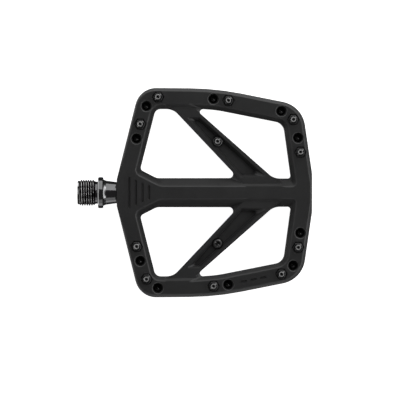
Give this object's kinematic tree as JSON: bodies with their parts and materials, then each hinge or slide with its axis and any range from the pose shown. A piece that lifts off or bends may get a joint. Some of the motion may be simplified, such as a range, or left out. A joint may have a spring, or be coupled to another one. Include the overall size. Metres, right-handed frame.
{
  "type": "flat pedal",
  "caption": "Right-hand flat bicycle pedal: open moulded platform with screw-in traction pins on both faces, turning on a threaded steel axle with a bushing and a cartridge bearing.",
  "frame": {"origin": "on the spindle's axis, at the middle of the pedal's overall length and width", "axes": "+X along the spindle, away from the crank; +Z out of one tread face; +Y fore and aft"},
  "size_m": [0.1274, 0.1136, 0.0246],
  "materials": {
    "black_nylon": "fine matt moulded texture, glass-filled nylon",
    "polished_steel": "dark polished chrome-molybdenum steel",
    "pin_steel": "dark steel with bright worn rims",
    "seal_rubber": "smooth black nitrile",
    "bushing_polymer": "tan self-lubricating polymer",
    "bearing_steel": "ground bearing steel",
    "cage_nylon": "natural nylon",
    "zinc_steel": "zinc-plated steel",
    "cap_plastic": "black moulded plastic"
  },
  "bodies": {
    "axle_group": {"axle": "polished_steel", "bearing_inner_race": "bearing_steel", "thrust_washer": "zinc_steel", "axle_locknut": "zinc_steel"},
    "platform_group": {"platform_body": "black_nylon", "pin_top_01": "pin_steel", "pin_top_02": "pin_steel", "pin_top_03": "pin_steel", "pin_top_04": "pin_steel", "pin_top_05": "pin_steel", "pin_top_06": "pin_steel", "pin_top_07": "pin_steel", "pin_top_08": "pin_steel", "pin_top_09": "pin_steel", "pin_top_10": "pin_steel", "pin_under_01": "pin_steel", "pin_under_02": "pin_steel", "pin_under_03": "pin_steel", "pin_under_04": "pin_steel", "pin_under_05": "pin_steel", "pin_under_06": "pin_steel", "pin_under_07": "pin_steel", "pin_under_08": "pin_steel", "pin_under_09": "pin_steel", "pin_under_10": "pin_steel", "brace_screw_fore": "pin_steel", "brace_screw_aft": "pin_steel", "inboard_seal": "seal_rubber", "bearing_shield_inboard": "seal_rubber", "bearing_shield_outboard": "seal_rubber", "axle_bushing": "bushing_polymer", "bearing_outer_race": "bearing_steel", "end_cap": "cap_plastic"},
    "ball_group": {"bearing_cage": "cage_nylon", "bearing_ball_1": "bearing_steel", "bearing_ball_2": "bearing_steel", "bearing_ball_3": "bearing_steel", "bearing_ball_4": "bearing_steel", "bearing_ball_5": "bearing_steel", "bearing_ball_6": "bearing_steel", "bearing_ball_7": "bearing_steel"}
  },
  "joints": [
    {"name": "platform_spin", "type": "hinge", "parent": "axle_group", "child": "platform_group", "pos_m": [0, 0, 0], "axis": [1, 0, 0], "continuous": true},
    {"name": "ball_cage_spin", "type": "hinge", "parent": "axle_group", "child": "ball_group", "pos_m": [0.0548, 0, 0], "axis": [1, 0, 0], "continuous": true}
  ],
  "couplings": [
    {"joint": "ball_cage_spin", "follows": "platform_spin", "ratio": 0.5867}
  ]
}
